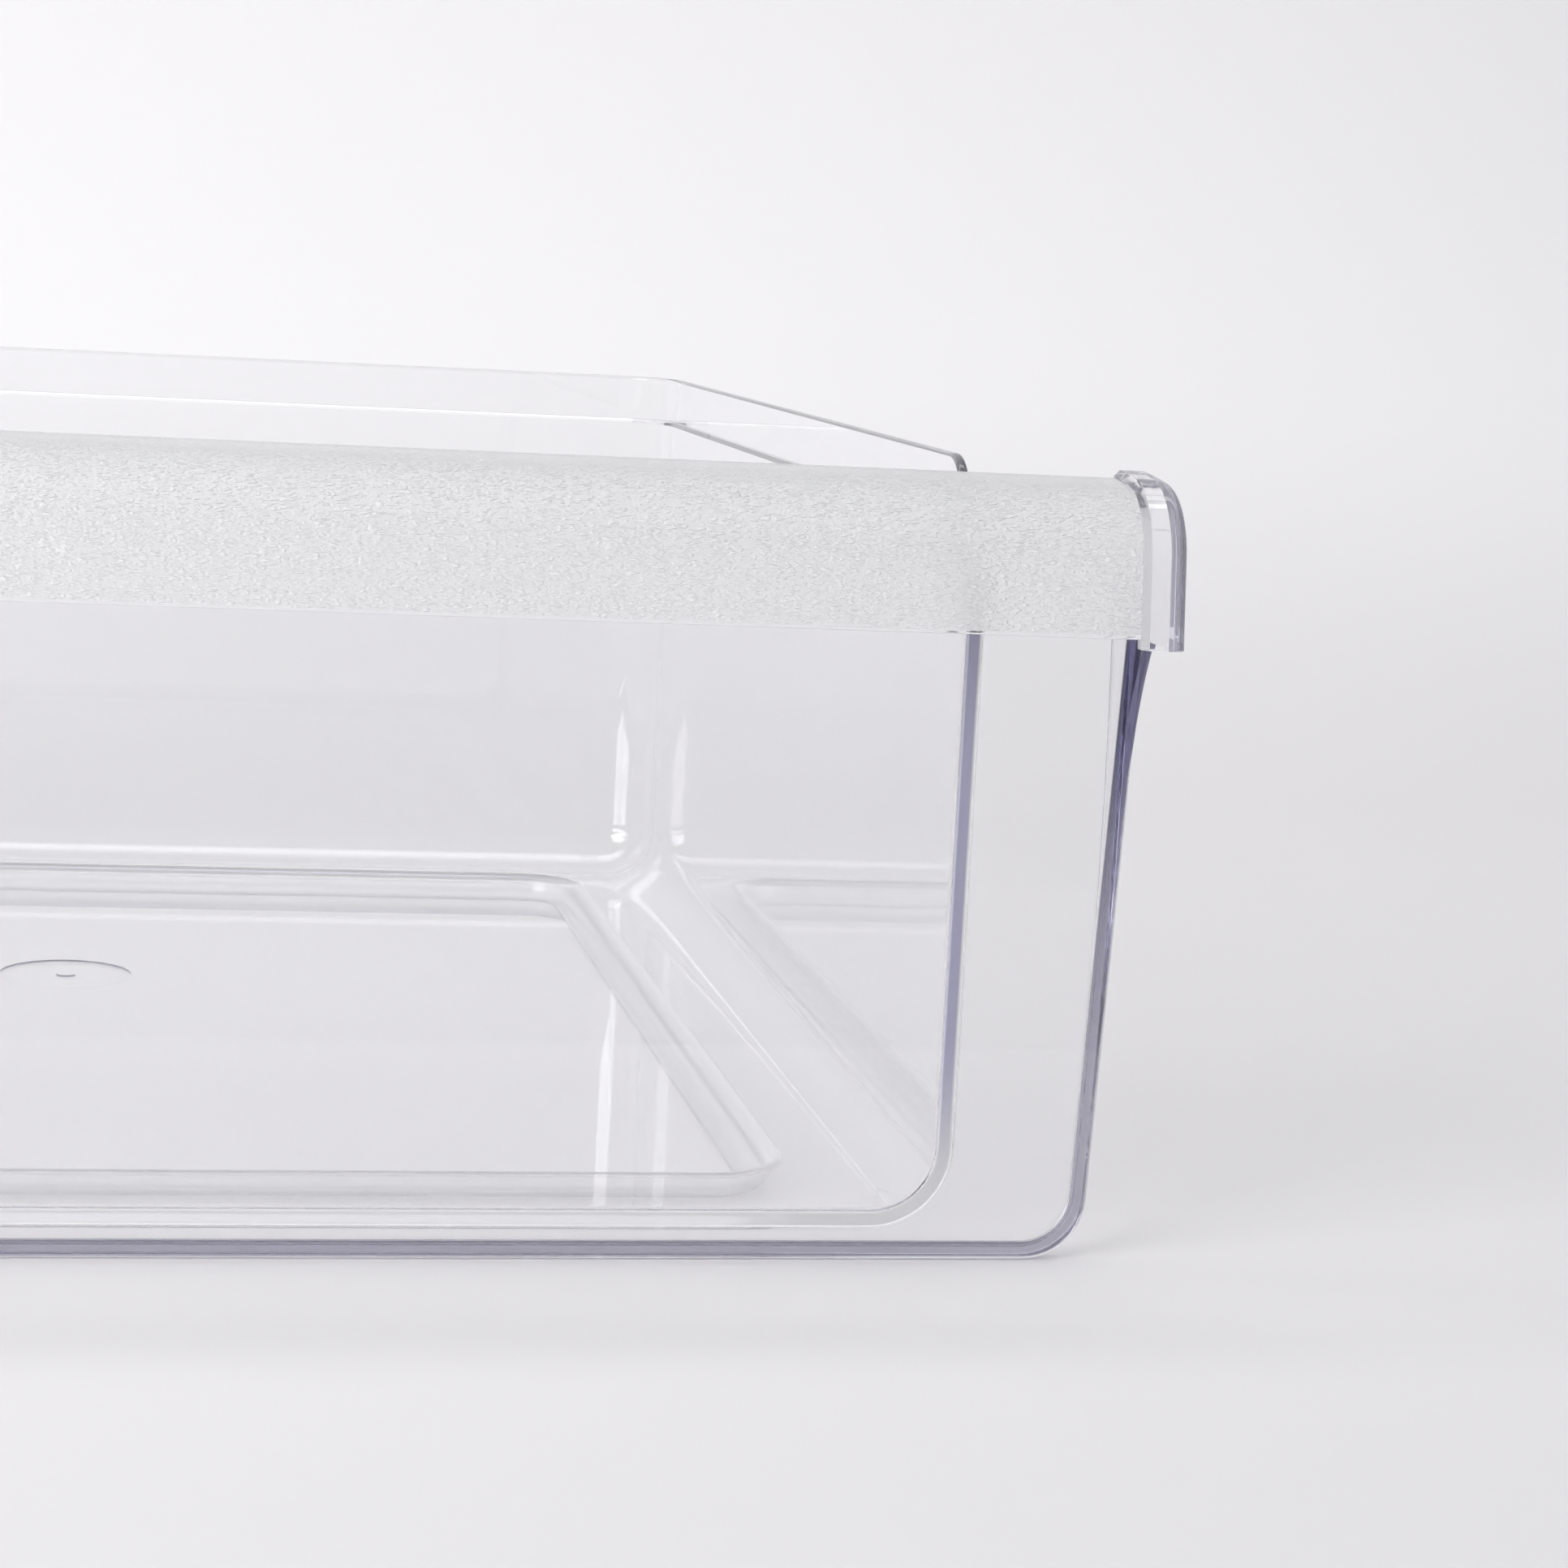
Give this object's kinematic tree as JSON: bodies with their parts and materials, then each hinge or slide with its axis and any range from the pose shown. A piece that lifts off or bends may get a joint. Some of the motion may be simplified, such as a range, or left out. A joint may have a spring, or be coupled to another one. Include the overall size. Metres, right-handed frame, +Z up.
{
  "type": "refrigerator snack pan",
  "caption": "Clear moulded refrigerator pan: open tub with stepped rim, wide front panel and hooded grained pull along its top.",
  "frame": {"origin": "on the table below the middle of the pan's bounding box", "axes": "+Z up, -Y towards the person pulling, +X to the right as seen from the front"},
  "size_m": [0.42, 0.421, 0.16],
  "materials": {
    "clear_plastic": "clear polished moulding with a faint violet tint at its edges and a fine leather grain on the pull"
  },
  "bodies": {
    "root": {"snack_pan": "clear_plastic"}
  },
  "joints": []
}
